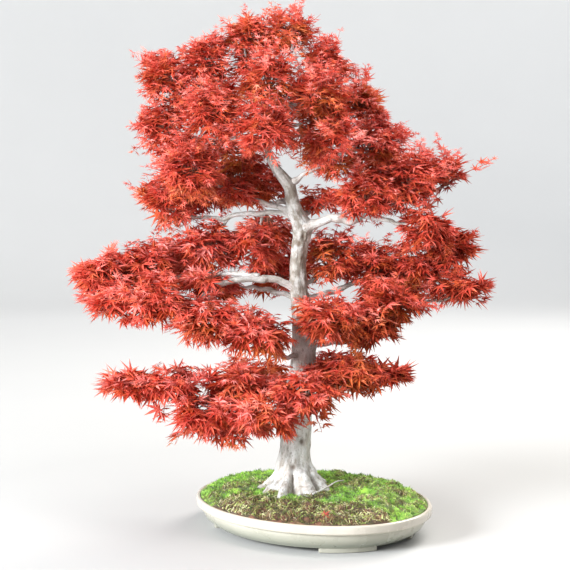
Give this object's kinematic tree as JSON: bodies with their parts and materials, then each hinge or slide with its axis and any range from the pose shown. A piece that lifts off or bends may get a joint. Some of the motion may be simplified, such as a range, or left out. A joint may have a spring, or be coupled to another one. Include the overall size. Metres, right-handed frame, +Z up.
{
  "type": "japanese maple bonsai",
  "caption": "Beni chidori Japanese maple bonsai: pale trunk, tiered limbs and coral red lobed leaves, on moss in an oval ivory glazed pot with feet; stands on a table or shelf.",
  "frame": {"origin": "middle of the whole part's box, at the underside of the pot's feet", "axes": "+Z up along the trunk, +X along the pot's long side; the tree's front is turned 42 degrees about +Z from -Y towards +X"},
  "size_m": [0.4896, 0.5094, 0.7554],
  "materials": {
    "glaze": "cream glazed stoneware, glossy",
    "screen": "moulded plastic mesh, matt",
    "soil": "damp granular bonsai soil",
    "moss_green": "living moss, fine short tufts",
    "moss_dry": "dried brown moss and moss debris",
    "bark": "smooth pale grey bark, lightly striped and knotted",
    "leaf": "thin coral red leaves, soft satin, a little light showing through"
  },
  "bodies": {
    "root": {"pot": "glaze", "drain_screen_left": "screen", "drain_screen_right": "screen", "soil": "soil", "moss_green": "moss_green", "moss_dry": "moss_dry", "trunk": "bark", "spray_crown_back_left": "leaf", "spray_crown_back_right": "leaf", "spray_crown_front": "leaf", "spray_crown_front_high": "leaf", "spray_crown_front_right": "leaf", "spray_crown_left": "leaf", "spray_crown_left_front": "leaf", "spray_crown_left_top": "leaf", "spray_crown_right": "leaf", "spray_crown_right_front": "leaf", "spray_crown_right_low": "leaf", "spray_crown_top_left": "leaf", "spray_crown_top_right": "leaf", "spray_crown_upper_left": "leaf", "spray_crown_upper_right": "leaf", "spray_low_back_left": "leaf", "spray_low_back_right": "leaf", "spray_low_centre": "leaf", "spray_low_front": "leaf", "spray_low_left": "leaf", "spray_low_left_front": "leaf", "spray_low_left_tip": "leaf", "spray_low_mid_left": "leaf", "spray_low_mid_right": "leaf", "spray_low_right": "leaf", "spray_mid_back": "leaf", "spray_mid_back_left": "leaf", "spray_mid_back_right": "leaf", "spray_mid_front": "leaf", "spray_mid_left": "leaf", "spray_mid_left_hanging": "leaf", "spray_mid_left_inner": "leaf", "spray_mid_left_low": "leaf", "spray_mid_left_low_tip": "leaf", "spray_mid_left_tip": "leaf", "spray_mid_right": "leaf", "spray_mid_right_cut": "leaf", "spray_mid_right_inner": "leaf", "spray_mid_right_low": "leaf", "spray_mid_right_low_inner": "leaf", "spray_mid_right_low_tip": "leaf", "spray_mid_right_outer": "leaf", "spray_mid_right_tip": "leaf", "spray_mid_trunk_left": "leaf", "spray_shelf_back": "leaf", "spray_shelf_inner": "leaf", "spray_shelf_low": "leaf", "spray_shelf_outer": "leaf", "spray_shelf_tip": "leaf", "spray_upper_left": "leaf", "spray_upper_left_back": "leaf", "spray_upper_left_front": "leaf", "spray_upper_left_tip": "leaf"}
  },
  "joints": []
}
